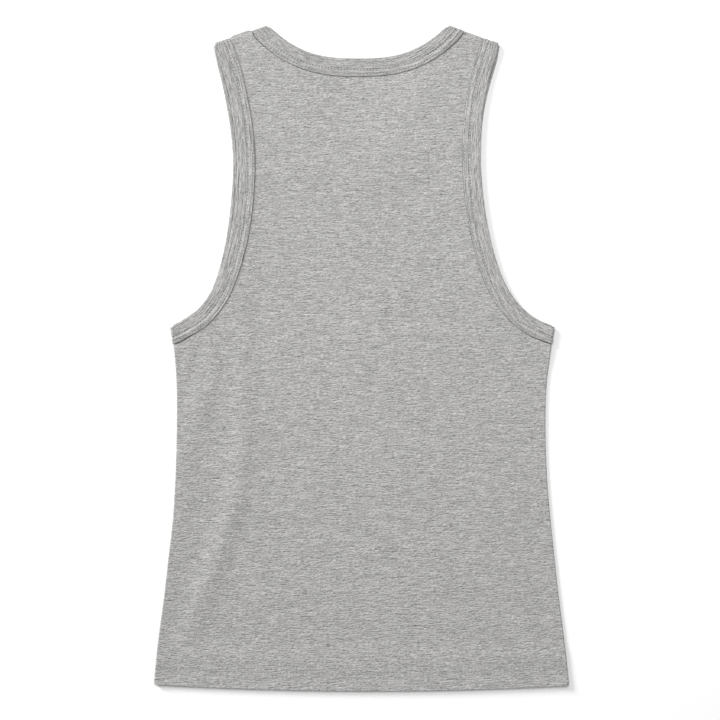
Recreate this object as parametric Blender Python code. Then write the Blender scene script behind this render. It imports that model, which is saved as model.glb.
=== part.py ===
"""Jersey tank top, laid flat on a surface with its back panel up.

The garment is five sewn pieces: a back panel, a front panel, a neck binding and two armhole
bindings. Each is a closed cloth wall. +Z points up from the surface, +Y runs from the hem to the
shoulders, and +X runs to the wearer's right. Lengths in the tables and names are millimetres.

The back lies on the front. Between them runs the mid surface, and every piece is placed by its
height above or below it. At the side folds, the shoulders and the underarms the mid surface ends,
and the cloth turns round that end from the back of the garment to its front.
"""

import math
from typing import NamedTuple

import bmesh
import bpy
import numpy as np

MM = 0.001

# The two layers and the two sides, as the sign of the direction in which they lie
BACK, FRONT = 1, -1
LEFT, RIGHT = -1, 1

# Cloth
WALL = 1.0  # one layer of jersey
SEAM_GAP = 0.3  # between two pieces that are sewn or lie together
HALF_GAP = SEAM_GAP / 2
RISE = WALL + SEAM_GAP  # how far one more layer lifts what lies on it
STACK = WALL + RISE  # a binding over a panel's edge

# Hem: the panel's own cloth, turned up once inside
HEM_HEIGHT = -343.7  # the fold of the hem at the sides
HEM_HALF_WIDTH = 217.6
HEM_BOW = 6.1  # how much lower the fold lies at the middle
HEM_TILT = 0.7  # how much lower it lies at the right end, and higher at the left one
HEM_DEPTH = 25.5
HEM_WALL = 1.6
HEM_CORNER = 3.0
HEM_EASE = 26.0  # above the hem, the back panel comes down to its own level over this length

# Bindings
BAND_WIDTH = 19.3
NOSE_WIDTH = 6.0  # the folded free edge, in front of the panel's raw edge
RAW_EDGE = NOSE_WIDTH + 1.6  # the panel's raw edge, tucked under the binding
BAND_SOFT = 0.4  # the rounding of the crease that lies on the panel
BAND_MARGIN = 3.0
BAND_EASE = 32.0  # past that margin, the panels come down to their own level over this length
FOLD_BLEND = 26.0  # a binding's width swings round to the line of a fold over this length

# Neck and shoulders: both necklines start from the same two points of the shoulder folds
NECK_CENTRE = -3.8
NECK_HALF_WIDTH = 93.6
NECK_HEIGHT = 348.8
NECK_FALL = 62.0  # inside the front neckline, the back panel comes down to the surface over this
SHOULDER_SLOPE = 0.343
SHOULDER_CROWN = {LEFT: 2.5, RIGHT: 0.8}  # how far the panels rise there between the bindings


class Neckline(NamedTuple):
    """A neckline falls by its drop towards the centre, and the power squares off its curve."""

    drop: float
    power: float


NECKLINES = {BACK: Neckline(33.1, 2.6), FRONT: Neckline(135.0, 3.0)}


class Side(NamedTuple):
    """The two side folds at one height."""

    height: float
    left: float
    right: float


SIDES = (
    Side(-352.0, -217.8, 217.8),
    Side(-324.5, -215.2, 215.2),
    Side(-286.6, -210.9, 210.9),
    Side(-248.8, -205.8, 206.0),
    Side(-211.0, -201.2, 201.8),
    Side(-173.2, -196.8, 198.2),
    Side(-135.4, -194.0, 195.2),
    Side(-97.6, -192.3, 193.3),
    Side(-60.0, -191.9, 192.6),
    Side(-22.0, -192.4, 194.2),
    Side(3.2, -194.4, 197.2),
    Side(35.2, -198.3, 200.6),
)


class Armhole(NamedTuple):
    """The front's free edges at one height, and how far inside them the back's lie."""

    height: float
    left: float
    right: float
    left_step: float
    right_step: float


ARMHOLES = (
    Armhole(35.2, -198.3, 200.6, 0.0, 0.0),
    Armhole(41.0, -187.8, 186.8, 0.0, 0.0),
    Armhole(46.2, -179.6, 178.0, 0.0, 0.0),
    Armhole(52.5, -171.9, 170.3, 0.0, 0.0),
    Armhole(58.8, -166.2, 164.3, 0.0, 0.0),
    Armhole(66.2, -160.9, 158.6, 0.3, 0.0),
    Armhole(78.8, -154.6, 151.1, 1.0, 0.0),
    Armhole(91.4, -150.3, 145.5, 1.8, 0.0),
    Armhole(116.6, -143.9, 137.5, 3.2, 0.0),
    Armhole(141.8, -139.6, 131.9, 4.0, 0.0),
    Armhole(167.0, -136.7, 127.9, 4.4, 0.0),
    Armhole(192.2, -135.1, 125.5, 4.4, 0.0),
    Armhole(217.4, -135.1, 124.7, 4.4, 0.0),
    Armhole(242.6, -137.5, 126.0, 4.4, 0.3),
    Armhole(267.8, -141.6, 129.6, 4.4, 1.2),
    Armhole(293.0, -147.0, 135.8, 4.4, 2.3),
    Armhole(314.0, -152.2, 141.9, 3.6, 2.4),
    Armhole(329.6, -155.3, 144.8, 0.0, 0.0),
)


class Crease(NamedTuple):
    """A soft ridge of the back panel at one height: where its crest lies and how high it stands."""

    height: float
    crest: float
    rise: float


LONG_CREASE = (
    Crease(-322.0, -192.0, 0.0),
    Crease(-285.0, -179.0, 1.2),
    Crease(-243.0, -163.0, 1.9),
    Crease(-190.0, -146.0, 2.3),
    Crease(-140.0, -131.0, 2.2),
    Crease(-90.0, -125.5, 1.6),
    Crease(-43.0, -124.0, 1.0),
    Crease(40.0, -126.5, 0.7),
    Crease(84.0, -127.0, 0.0),
)
SHORT_CREASE = (
    Crease(-215.0, -200.0, 0.0),
    Crease(-160.0, -191.0, 0.7),
    Crease(-115.0, -184.0, 1.1),
    Crease(-74.0, -176.0, 1.4),
    Crease(-35.0, -166.0, 1.4),
    Crease(4.0, -156.0, 1.0),
    Crease(36.0, -148.0, 0.0),
)
CREASE_HALF_WIDTH = 21.0

# How finely the pieces are cut into faces
CURVE_STEP = 2.0
NECK_SAMPLES = 400
STRAIGHT_STEPS = 9  # a side fold counts as straight over so many steps below the underarm
BAND_STEP = 10.5
TURN_STEPS = 5
FOLD_TURNS = np.array([math.pi / 4, math.acos(HALF_GAP / (HALF_GAP + WALL))])
HEM_ROWS = np.array([0.0, 0.24, 0.8, 3.0, 12.0, 25.2, 25.8, 38.0, 51.0])  # distances above the fold
HEM_LEVEL = 120.0  # past them the rows level out over this length
UNDERARM_ROWS = np.array([-48.0, -32.0, -16.0, 0.0, 2.5, 6.5, 12.0, 20.0, 31.0, 46.0, 64.0])
CHEST_MARGIN = 16.0  # the level rows end this far below the neck binding
EDGE_COLUMNS = np.arange(0.0, 41.0, 8.0)  # distances in from a panel's sides
CREASE_COLUMNS = np.arange(48.0, 89.0, 8.0)  # and on the left of the back, where it is creased
SHOULDER_SHARES = np.array([0.0, 0.3, 0.42, 0.58, 0.7])  # where columns cross a shoulder
CROWN_SHARES = 0.1  # those this close to its middle rise with the crown


class Mesh(NamedTuple):
    """How many rows and columns a panel has where its edges don't set them."""

    body_rows: int
    strap_step: float
    top_rows: int
    middle_columns: int


MESHES = {BACK: Mesh(13, 15.0, 7, 7), FRONT: Mesh(7, 15.0, 11, 14)}

# Finish
JERSEY_COLOUR = (0.43, 0.43, 0.42, 1.0)
BINDING_COLOUR = (0.41, 0.41, 0.40, 1.0)
JERSEY_ROUGHNESS = 0.92
SHARP_ANGLE = math.radians(50.0)


def ease(share):
    """0 below 0, 1 above 1, and 3s^2 - 2s^3 between."""
    share = np.clip(share, 0.0, 1.0)
    return share * share * (3.0 - 2.0 * share)


def unit(vectors):
    """The vectors at a length of 1."""
    return vectors / np.linalg.norm(vectors, axis=-1, keepdims=True)


def along(curve):
    """Each point's distance from the curve's start, measured along it."""
    return np.concatenate([[0.0], np.cumsum(np.linalg.norm(np.diff(curve, axis=0), axis=1))])


def at_lengths(curve, lengths):
    """The points at these distances along the curve."""
    reach = along(curve)
    return np.stack([np.interp(lengths, reach, axis) for axis in curve.T], axis=-1)


def even(curve, step):
    """The curve again, in equal steps of about this length."""
    reach = along(curve)[-1]
    return at_lengths(curve, np.linspace(0.0, reach, round(reach / step) + 1))


def spline(knots, points, values):
    """The natural cubic spline that has these points at the knots, read at the values."""
    gaps = np.diff(knots)
    slopes = np.diff(points, axis=0) / gaps[:, None]
    system = np.eye(len(knots))
    bends = np.zeros(points.shape)
    for i in range(1, len(knots) - 1):
        system[i, i - 1 : i + 2] = gaps[i - 1], 2.0 * (gaps[i - 1] + gaps[i]), gaps[i]
        bends[i] = 6.0 * (slopes[i] - slopes[i - 1])
    bends = np.linalg.solve(system, bends)
    cell = np.clip(np.searchsorted(knots, values) - 1, 0, len(gaps) - 1)
    gap = gaps[cell][:, None]
    after = (values - knots[cell])[:, None]
    before = gap - after
    straight = (points[cell] * before + points[cell + 1] * after) / gap
    bend = bends[cell] * (before**3 / gap - gap * before)
    bend += bends[cell + 1] * (after**3 / gap - gap * after)
    return straight + bend / 6.0


def smooth_line(points):
    """A spline through the points, in even small steps."""
    knots = along(points)
    lengths = np.linspace(0.0, knots[-1], round(knots[-1] / CURVE_STEP))
    return even(spline(knots, points, lengths), CURVE_STEP)


def distance(points, curve):
    """How far each point (..., 2) lies from the curve."""
    starts = curve[:-1]
    steps = np.diff(curve, axis=0)
    offsets = points[..., None, :] - starts
    share = np.clip((offsets * steps).sum(-1) / (steps * steps).sum(-1), 0.0, 1.0)
    return np.linalg.norm(offsets - share[..., None] * steps, axis=-1).min(-1)


def side_fold(side):
    """A side fold's line, from the hem to the underarm."""
    return smooth_line(np.array([(row.left if side == LEFT else row.right, row.height) for row in SIDES]))


def armhole_edge(side, layer):
    """One layer of an armhole's free edge, from the underarm to the shoulder."""
    edges = np.array([row.left if side == LEFT else row.right for row in ARMHOLES])
    steps = np.array([row.left_step if side == LEFT else row.right_step for row in ARMHOLES])
    if layer == BACK:
        edges = edges - side * steps
    return smooth_line(np.stack([edges, [row.height for row in ARMHOLES]], axis=-1))


def neck_height(across, layer):
    """A neckline's height: it falls from the shoulders by drop * (1 - share of half width ** power)."""
    line = NECKLINES[layer]
    share = np.clip(np.abs(across - NECK_CENTRE) / NECK_HALF_WIDTH, 0.0, 1.0)
    return NECK_HEIGHT - line.drop * (1.0 - share**line.power)


def neck_edge(layer):
    """One layer of the neck's free edge, from the left shoulder to the right."""
    across = NECK_CENTRE + NECK_HALF_WIDTH * np.linspace(-1.0, 1.0, NECK_SAMPLES)
    return even(np.stack([across, neck_height(across, layer)], axis=-1), CURVE_STEP)


SIDE_FOLDS = {side: side_fold(side) for side in (LEFT, RIGHT)}
ARMHOLE_LAYERS = [(side, layer) for side in (LEFT, RIGHT) for layer in (FRONT, BACK)]
ARMHOLE_EDGES = {key: armhole_edge(*key) for key in ARMHOLE_LAYERS}
NECK_EDGES = {layer: neck_edge(layer) for layer in (FRONT, BACK)}
SHOULDER_LINES = {side: unit(np.array([-side, SHOULDER_SLOPE])) for side in (LEFT, RIGHT)}
SHOULDER_OUTS = {side: unit(np.array([side * SHOULDER_SLOPE, 1.0])) for side in (LEFT, RIGHT)}


def mid_height(points, layer):
    """The height of the mid surface, as the front or the back meets it.

    In the field it lies one wall and half a gap above the surface. Over and near a binding of the
    front it is lifted by one more layer. Inside the front neckline there is no front, and there the
    back lies on the surface, as far below the field's height as the bindings lift it above.
    """
    flat = np.ones(points.shape[:-1])
    for edge in (ARMHOLE_EDGES[LEFT, FRONT], ARMHOLE_EDGES[RIGHT, FRONT], NECK_EDGES[FRONT]):
        flat *= ease((distance(points, edge) - BAND_WIDTH - BAND_MARGIN) / BAND_EASE)
    lift = 1.0 - flat
    if layer == BACK:
        in_neck = np.abs(points[..., 0] - NECK_CENTRE) < NECK_HALF_WIDTH
        in_neck &= points[..., 1] > neck_height(points[..., 0], FRONT)
        fall = 1.0 - 2.0 * ease(distance(points, NECK_EDGES[FRONT]) / NECK_FALL)
        lift = np.where(in_neck, fall, lift)
    return WALL + HALF_GAP + RISE * lift


def crease_height(points):
    """The back's ridges: each a raised cosine across its crest, as high as its table says."""
    total = np.zeros(points.shape[:-1])
    for table in (LONG_CREASE, SHORT_CREASE):
        rows = np.array(table)
        heights = np.clip(points[..., 1], rows[0, 0], rows[-1, 0])
        crest, rise = spline(rows[:, 0], rows[:, 1:], heights.ravel()).T.reshape((2,) + heights.shape)
        share = np.clip(np.abs(points[..., 0] - crest) / CREASE_HALF_WIDTH, 0.0, 1.0)
        total += np.maximum(rise, 0.0) * (1.0 + np.cos(math.pi * share)) / 2.0
    return total


class Edge(NamedTuple):
    """One layer of a binding's free edge, its width's direction, and the way out past each end."""

    points: np.ndarray
    widths: np.ndarray
    start_out: np.ndarray
    end_out: np.ndarray

    def inside(self, reach):
        """The line that runs this far inside the free edge."""
        return self.points + self.widths * reach


def width_directions(edge, material, start_fold, end_fold):
    """The direction of a binding's width at each point of its free edge.

    It is square to the edge and points to the material, which lies to the edge's right (1) or left
    (-1). Near each end it swings round to the line of the fold there.
    """
    tangents = unit(np.gradient(edge, axis=0))
    widths = material * np.stack([tangents[:, 1], -tangents[:, 0]], axis=-1)
    reach = along(edge)
    for fold, gone in ((start_fold, reach), (end_fold, reach[-1] - reach)):
        share = ease(gone / FOLD_BLEND)[:, None]
        widths = widths * share + fold * (1.0 - share)
    return unit(widths)


def armhole_band(side, layer):
    """One layer of an armhole binding's edge, from the underarm to the shoulder."""
    fold = SIDE_FOLDS[side]
    down = unit(fold[-1 - STRAIGHT_STEPS] - fold[-1])
    out = side * np.array([-down[1], down[0]])
    edge = ARMHOLE_EDGES[side, layer]
    widths = width_directions(edge, -side, down, SHOULDER_LINES[side])
    return Edge(edge, widths, out, SHOULDER_OUTS[side])


def neck_band(layer):
    """One layer of the neck binding's edge, from the left shoulder to the right."""
    edge = NECK_EDGES[layer]
    widths = width_directions(edge, 1, -SHOULDER_LINES[LEFT], -SHOULDER_LINES[RIGHT])
    return Edge(edge, widths, SHOULDER_OUTS[LEFT], SHOULDER_OUTS[RIGHT])


ARMHOLE_BANDS = {key: armhole_band(*key) for key in ARMHOLE_EDGES}
NECK_BANDS = {layer: neck_band(layer) for layer in NECK_EDGES}


def cloth_object(name, points, faces, colour):
    """An object of these points (in mm) and faces, closed, facing out and shaded smooth."""
    mesh = bpy.data.meshes.new(name)
    mesh.from_pydata((points * MM).tolist(), [], faces.tolist())
    shape = bmesh.new()
    shape.from_mesh(mesh)
    bmesh.ops.remove_doubles(shape, verts=shape.verts, dist=1e-6)
    bmesh.ops.recalc_face_normals(shape, faces=shape.faces)
    shape.to_mesh(mesh)
    shape.free()
    mesh.shade_smooth()
    mesh.set_sharp_from_angle(angle=SHARP_ANGLE)
    material = bpy.data.materials.new(name)
    material.use_nodes = True
    finish = material.node_tree.nodes["Principled BSDF"]
    finish.inputs["Base Color"].default_value = colour
    finish.inputs["Roughness"].default_value = JERSEY_ROUGHNESS
    finish.inputs["Metallic"].default_value = 0.0
    mesh.materials.append(material)
    piece = bpy.data.objects.new(name, mesh)
    bpy.context.scene.collection.objects.link(piece)
    return piece


def grid_faces(rows, columns, ring=False):
    """The four-sided faces between the points of a grid, or of a ring of closed sections."""
    row, column = np.indices((rows - (not ring), columns - (not ring)))
    next_row, next_column = (row + 1) % rows, (column + 1) % columns
    corners = [row * columns + column, row * columns + next_column]
    corners += [next_row * columns + next_column, next_row * columns + column]
    return np.stack(corners, axis=-1).reshape(-1, 4)


def band_section():
    """A binding's section, as distances in from its free edge and out from its inner face.

    The nose is a solid fold with a half-round edge. From it the outer leg runs on over the panel.
    """
    radius = STACK / 2
    turn = radius * (1.0 - math.sqrt(0.5))
    nose = [(radius, 0.0), (turn, turn), (0.0, radius), (turn, STACK - turn), (radius, STACK)]
    leg = [(BAND_WIDTH - BAND_SOFT, STACK), (BAND_WIDTH, STACK - BAND_SOFT), (BAND_WIDTH, RISE)]
    return np.array([(NOSE_WIDTH, 0.0)] + nose + leg + [(NOSE_WIDTH, RISE)])


def band_stations(band, layer):
    """The sections along one layer of a binding, as points (station, section point, 3)."""
    section = band_section()
    stations = round(along(band.points)[-1] / BAND_STEP) + 1
    picks = np.linspace(0, len(band.points) - 1, stations).round().astype(int)
    plan = band.points[picks][:, None] + band.widths[picks][:, None] * section[:, :1]
    height = mid_height(plan, layer) + layer * (HALF_GAP + section[:, 1])
    return np.concatenate([plan, height[..., None]], axis=-1)


def band_turn(corner, width, out):
    """The sections round a fold, from the back to the front, without the two at its ends."""
    section = band_section()
    angles = np.linspace(0.0, math.pi, TURN_STEPS + 1)[1:-1, None]
    reach = HALF_GAP + section[:, 1]
    fold = corner + width * section[:, :1]
    plan = fold + (reach * np.sin(angles))[..., None] * out
    height = mid_height(fold, BACK) + reach * np.cos(angles)
    return np.concatenate([plan, height[..., None]], axis=-1)


def binding(name, bands):
    """A closed ring: along the back's edge, round the fold at its end, along the front's and round."""
    back = bands[BACK]
    end_turn = band_turn(back.points[-1], back.widths[-1], back.end_out)
    start_turn = band_turn(back.points[0], back.widths[0], back.start_out)
    layers = band_stations(back, BACK), band_stations(bands[FRONT], FRONT)
    ring = np.concatenate([layers[0], end_turn, layers[1][::-1], start_turn[::-1]])
    faces = grid_faces(*ring.shape[:2], ring=True)
    return cloth_object(name, ring.reshape(-1, 3), faces, BINDING_COLOUR)


def hem_bow(across):
    """How far the hem's fold dips there: a parabola that is 0 at the sides, and a tilt."""
    share = np.clip(across / HEM_HALF_WIDTH, -1.0, 1.0)
    return HEM_BOW * (1.0 - share**2) + HEM_TILT * share


def place_at(curve, heights):
    """How far across a curve that only climbs lies at these heights."""
    return np.interp(heights, curve[:, 1], curve[:, 0])


def panel_side(side, layer):
    """A panel's side from hem to shoulder, side fold and then raw armhole edge, and where that starts."""
    raw = ARMHOLE_BANDS[side, layer].inside(RAW_EDGE)
    fold = SIDE_FOLDS[side]
    return np.concatenate([fold[fold[:, 1] < raw[0, 1]], raw]), raw[0, 1]


def row_heights(layer, underarm):
    """The heights of a panel's level rows, closer where its outline or its wall changes."""
    hem = HEM_HEIGHT + HEM_ROWS
    armpit = underarm + UNDERARM_ROWS
    top = NECK_HEIGHT - NECKLINES[layer].drop - BAND_WIDTH - CHEST_MARGIN
    body = np.linspace(hem[-1], armpit[0], MESHES[layer].body_rows + 1)[1:-1]
    strap = np.linspace(armpit[-1], top, 2 + round((top - armpit[-1]) / MESHES[layer].strap_step))[1:]
    return np.concatenate([hem, body, armpit, strap])


def column_places(layer):
    """Each column's share of a row's width, and how far it is moved from there."""
    left = np.concatenate([EDGE_COLUMNS, CREASE_COLUMNS]) if layer == BACK else EDGE_COLUMNS
    right = EDGE_COLUMNS[::-1]
    middle = np.linspace(0.0, 1.0, MESHES[layer].middle_columns + 2)[1:-1]
    shares = np.concatenate([np.zeros(len(left)), middle, np.ones(len(right))])
    return shares, np.concatenate([left, left[-1] * (1.0 - middle) - right[0] * middle, -right])


def panel_top(layer, columns):
    """A panel's top edge, left to right: shoulder fold, raw neck edge, shoulder fold."""
    neck = NECK_BANDS[layer].inside(RAW_EDGE)
    shares = SHOULDER_SHARES[:, None]
    shoulders = {}
    for side, end in ((LEFT, neck[0]), (RIGHT, neck[-1])):
        start = ARMHOLE_BANDS[side, layer].inside(RAW_EDGE)[-1]
        crown = np.where(np.abs(shares - 0.5) < CROWN_SHARES, SHOULDER_CROWN[side], 0.0)
        shoulders[side] = start + (end - start) * shares + crown * SHOULDER_OUTS[side]
    lengths = np.linspace(0.0, along(neck)[-1], columns - 2 * len(shares))
    return np.concatenate([shoulders[LEFT], at_lengths(neck, lengths), shoulders[RIGHT][::-1]])


def level_rows(layer, sides, underarm):
    """The rows from the hem to the chest: each runs level from side to side, and bows at the hem."""
    heights = row_heights(layer, underarm)
    from_hem = heights - HEM_HEIGHT
    shares, shifts = column_places(layer)
    left, right = (place_at(side, heights)[:, None] for side in sides)
    cut = np.clip(1.0 - from_hem / HEM_CORNER, 0.0, 1.0)
    corner = (HEM_CORNER * (1.0 - np.sqrt(1.0 - cut * cut)))[:, None]
    across = left + corner + (right - left - 2.0 * corner) * shares + shifts
    level = ease((from_hem - HEM_ROWS[-1]) / HEM_LEVEL)[:, None]
    return np.stack([across, heights[:, None] - hem_bow(across) * (1.0 - level)], axis=-1)


def top_rows(layer, sides, bottom):
    """The rows from the chest to the top: a Coons patch between the armholes, shoulders and neck."""
    top = panel_top(layer, len(bottom))
    steps = np.linspace(0.0, 1.0, MESHES[layer].top_rows + 1)[1:, None, None]
    rows = bottom * (1.0 - steps) + top * steps
    share = ((bottom[:, 0] - bottom[0, 0]) / (bottom[-1, 0] - bottom[0, 0]))[:, None]
    for side, end, weight in ((sides[0], 0, 1.0 - share), (sides[1], -1, share)):
        heights = rows[:, end, 1]
        edge = np.stack([place_at(side, heights), heights], axis=-1)
        rows = rows + (edge - rows[:, end])[:, None] * weight
    return rows


def panel_plan(layer):
    """A panel's points from above (row, column, 2), and how many of its rows end at the side folds."""
    sides, corners = zip(*(panel_side(side, layer) for side in (LEFT, RIGHT)))
    level = level_rows(layer, sides, min(corners))
    rows = np.concatenate([level, top_rows(layer, sides, level[-1])])
    return rows, int((level[:, 0, 1] <= min(corners)).sum())


def edge_turns(rows, columns):
    """How far each point of a panel's grid has turned round the edge above it, and to its side."""
    extra = len(FOLD_TURNS)
    up = np.concatenate([np.zeros(rows - extra), FOLD_TURNS])[:, None]
    sideways = np.concatenate([FOLD_TURNS[::-1], np.zeros(columns - 2 * extra), FOLD_TURNS])
    return up, sideways


def panel(name, layer):
    """A panel: its outer and inner surfaces, over one grid, meet all round its edge.

    The grid is continued past its sides and top by rows and columns that turn the outer surface in
    to the inner one: round a quarter circle at a fold, and straight down at a raw edge.
    """
    plan, side_rows = panel_plan(layer)
    extra = len(FOLD_TURNS)
    plan = np.pad(plan, ((0, extra), (extra, extra), (0, 0)), mode="edge")
    rows, columns = plan.shape[:2]
    up, sideways = edge_turns(rows, columns)
    radius = HALF_GAP + WALL
    reach = np.zeros_like(plan)
    reach[:side_rows, :, 0] = radius * np.sin(sideways) * np.sign(np.arange(columns) - columns / 2)
    shoulder = len(SHOULDER_SHARES) + extra + 1
    reach[:, :shoulder] += radius * np.sin(up)[..., None] * SHOULDER_OUTS[LEFT]
    reach[:, -shoulder:] += radius * np.sin(up)[..., None] * SHOULDER_OUTS[RIGHT]
    thinning = (radius * np.cos(up) - HALF_GAP) * (radius * np.cos(sideways) - HALF_GAP) / WALL**2

    from_hem = np.maximum(plan[..., 1] + hem_bow(plan[..., 0]) - HEM_HEIGHT, 0.0)
    cloth = np.where(from_hem < HEM_DEPTH, HEM_WALL, WALL)
    outer = mid_height(plan, layer) + layer * (HALF_GAP + WALL)
    if layer == BACK:
        hem_lift = 1.0 - ease((from_hem - HEM_DEPTH) / HEM_EASE)
        outer += 2.0 * (HEM_WALL - WALL) * hem_lift + crease_height(plan)
    middle = outer - layer * cloth / 2
    cloth = cloth * np.sqrt(1.0 - np.clip(1.0 - from_hem / (HEM_WALL / 2), 0.0, 1.0) ** 2)
    inner = middle - layer * cloth / 2
    outer = inner + layer * cloth * thinning

    surfaces = [np.concatenate([plan + reach, height[..., None]], axis=-1) for height in (outer, inner)]
    faces = grid_faces(rows, columns)
    points = np.concatenate(surfaces).reshape(-1, 3)
    return cloth_object(name, points, np.concatenate([faces, faces + rows * columns]), JERSEY_COLOUR)


def main():
    for item in list(bpy.data.objects):
        bpy.data.objects.remove(item, do_unlink=True)
    panel("front_panel", FRONT)
    panel("back_panel", BACK)
    binding("neck_binding", NECK_BANDS)
    for name, side in (("left", LEFT), ("right", RIGHT)):
        bands = {layer: ARMHOLE_BANDS[side, layer] for layer in (FRONT, BACK)}
        binding("armhole_binding_" + name, bands)


main()
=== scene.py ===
# %% [markdown]
# # A jersey tank top, laid flat with its back up
#
# This lesson dresses a plain model of a tank top: it swaps each of its five solids for a finer piece
# of cloth, sews them with thread, and gives them a grey marl jersey. The solids come first. They say
# where everything is, and nothing here moves them. The garment's lengths are in millimetres, and
# become metres only when a mesh is made.

import math
from typing import NamedTuple

import bpy
import numpy as np
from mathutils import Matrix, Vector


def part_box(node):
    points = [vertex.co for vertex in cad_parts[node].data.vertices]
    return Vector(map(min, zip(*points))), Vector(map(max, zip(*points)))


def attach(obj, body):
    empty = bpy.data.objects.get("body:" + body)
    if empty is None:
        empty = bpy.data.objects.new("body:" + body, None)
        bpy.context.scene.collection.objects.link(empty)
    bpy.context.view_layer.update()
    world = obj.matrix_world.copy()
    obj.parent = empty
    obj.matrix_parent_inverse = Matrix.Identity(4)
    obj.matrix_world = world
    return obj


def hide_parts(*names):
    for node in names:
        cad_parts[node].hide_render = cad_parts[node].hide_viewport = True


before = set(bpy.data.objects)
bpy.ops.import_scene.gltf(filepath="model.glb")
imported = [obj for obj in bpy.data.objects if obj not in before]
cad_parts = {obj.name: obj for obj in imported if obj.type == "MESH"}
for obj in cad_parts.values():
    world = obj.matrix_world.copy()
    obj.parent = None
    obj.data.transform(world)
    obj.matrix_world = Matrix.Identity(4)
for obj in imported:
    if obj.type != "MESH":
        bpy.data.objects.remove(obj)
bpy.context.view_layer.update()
print("solids:", ", ".join(sorted(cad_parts)))

# %% [markdown]
# ## The cloth and how it is sewn
#
# A tank top is two panels of single jersey. The raw edges of the neck and the armholes are wrapped in
# a folded strip of the same cloth, a binding, which a twin needle sews down with two parallel rows.
# The hem is the panel's own cloth, turned up once inside and sewn with the same twin needle. So a few
# sizes drive everything: the cloth's wall, the width of a binding, the depth of the hem, and the
# length and spacing of the stitches.

# %% Sizes of the cloth and the sewing
MM = 0.001
BACK, FRONT = 1, -1
LEFT, RIGHT = -1, 1

WALL = 1.0
SEAM_GAP = 0.3
HALF_GAP = SEAM_GAP / 2
RISE = WALL + SEAM_GAP
STACK = WALL + RISE

BAND_WIDTH = 18.75
NOSE_WIDTH = 6.0
RAW_EDGE = NOSE_WIDTH + 1.6
HEM_DEPTH = 25.5

STITCH = 3.4
BAND_ROWS = (11.9, 16.4)
HEM_ROWS = (17.9, 23.8)
GROOVE_WIDTH = 0.9
GROOVE_STEPS = np.array([-1.6, -0.9, -0.4, 0.0, 0.4, 0.9, 1.6])
print(f"bindings {BAND_WIDTH} mm wide, sewn at {BAND_ROWS} mm from their free edge")
print(f"hem {HEM_DEPTH} mm deep, sewn at {HEM_ROWS} mm above its fold, with {STITCH} mm stitches")

# %% [markdown]
# ## The outline
#
# A pattern cutter draws a garment from a few measured points and joins them with smooth curves. The
# side folds and the armholes are drawn like that here: short tables of heights and half widths, and a
# natural cubic spline through them. Bezier curves in Blender would do too, but a spline worked out
# with numpy can be asked for its place at any height, and the panels need that for every row.

# %% The side folds and the armholes
class Side(NamedTuple):
    """The two side folds at one height."""

    height: float
    left: float
    right: float


class Armhole(NamedTuple):
    """The front's free edges at one height, and how far inside them the back's lie."""

    height: float
    left: float
    right: float
    left_step: float
    right_step: float


SIDES = (
    Side(-352.0, -217.8, 217.8),
    Side(-324.5, -215.4, 215.2),
    Side(-286.6, -211.3, 210.9),
    Side(-248.8, -206.2, 206.0),
    Side(-211.0, -201.9, 201.7),
    Side(-173.2, -197.5, 197.8),
    Side(-135.4, -194.8, 194.4),
    Side(-97.6, -193.3, 192.4),
    Side(-60.0, -192.8, 191.9),
    Side(-22.0, -193.2, 193.6),
    Side(3.2, -194.9, 196.7),
    Side(35.2, -198.3, 200.6),
)
ARMHOLES = (
    Armhole(35.2, -198.3, 200.6, 0.0, 0.0),
    Armhole(41.0, -188.7, 186.8, 0.0, 0.0),
    Armhole(46.2, -180.1, 178.0, 0.0, 0.0),
    Armhole(52.5, -171.9, 170.3, 0.0, 0.0),
    Armhole(58.8, -166.2, 164.3, 0.0, 0.0),
    Armhole(66.2, -160.9, 158.6, 0.3, 0.0),
    Armhole(78.8, -154.6, 151.1, 1.0, 0.0),
    Armhole(91.4, -150.3, 145.5, 1.8, 0.0),
    Armhole(116.6, -143.9, 137.5, 3.2, 0.0),
    Armhole(141.8, -139.6, 131.9, 4.0, 0.0),
    Armhole(167.0, -136.7, 127.9, 4.4, 0.0),
    Armhole(192.2, -135.1, 125.5, 4.4, 0.0),
    Armhole(217.4, -135.1, 124.7, 4.4, 0.0),
    Armhole(242.6, -137.5, 126.0, 4.4, 0.3),
    Armhole(267.8, -141.6, 129.6, 4.4, 1.2),
    Armhole(293.0, -147.0, 135.8, 4.4, 2.3),
    Armhole(314.0, -152.2, 141.9, 3.6, 2.4),
    Armhole(329.6, -155.3, 144.8, 0.0, 0.0),
)
print(len(SIDES), "points down each side fold,", len(ARMHOLES), "round each armhole")


# %% [markdown]
# ## Curves as arrays
#
# Nine small functions carry the whole garment. They all work on arrays of points, so that one call
# places a whole edge or a whole panel.

# %% Helpers for curves
CURVE_STEP = 1.0
FAR_STEP = 5.0


def ease(share):
    """0 below 0, 1 above 1, and 3s^2 - 2s^3 between."""
    share = np.clip(share, 0.0, 1.0)
    return share * share * (3.0 - 2.0 * share)


def unit(vectors):
    """The vectors at a length of 1."""
    return vectors / np.linalg.norm(vectors, axis=-1, keepdims=True)


def along(curve):
    """Each point's distance from the curve's start, measured along it."""
    return np.concatenate([[0.0], np.cumsum(np.linalg.norm(np.diff(curve, axis=0), axis=1))])


def read(knots, values, places):
    """The values, one row for each knot, read at these places between the knots."""
    return np.stack([np.interp(places, knots, column) for column in values.T], axis=-1)


def at_lengths(curve, lengths):
    """The points at these distances along the curve."""
    return read(along(curve), curve, lengths)


def even(curve, step):
    """The curve again, in equal steps of about this length."""
    reach = along(curve)[-1]
    return at_lengths(curve, np.linspace(0.0, reach, round(reach / step) + 1))


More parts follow.
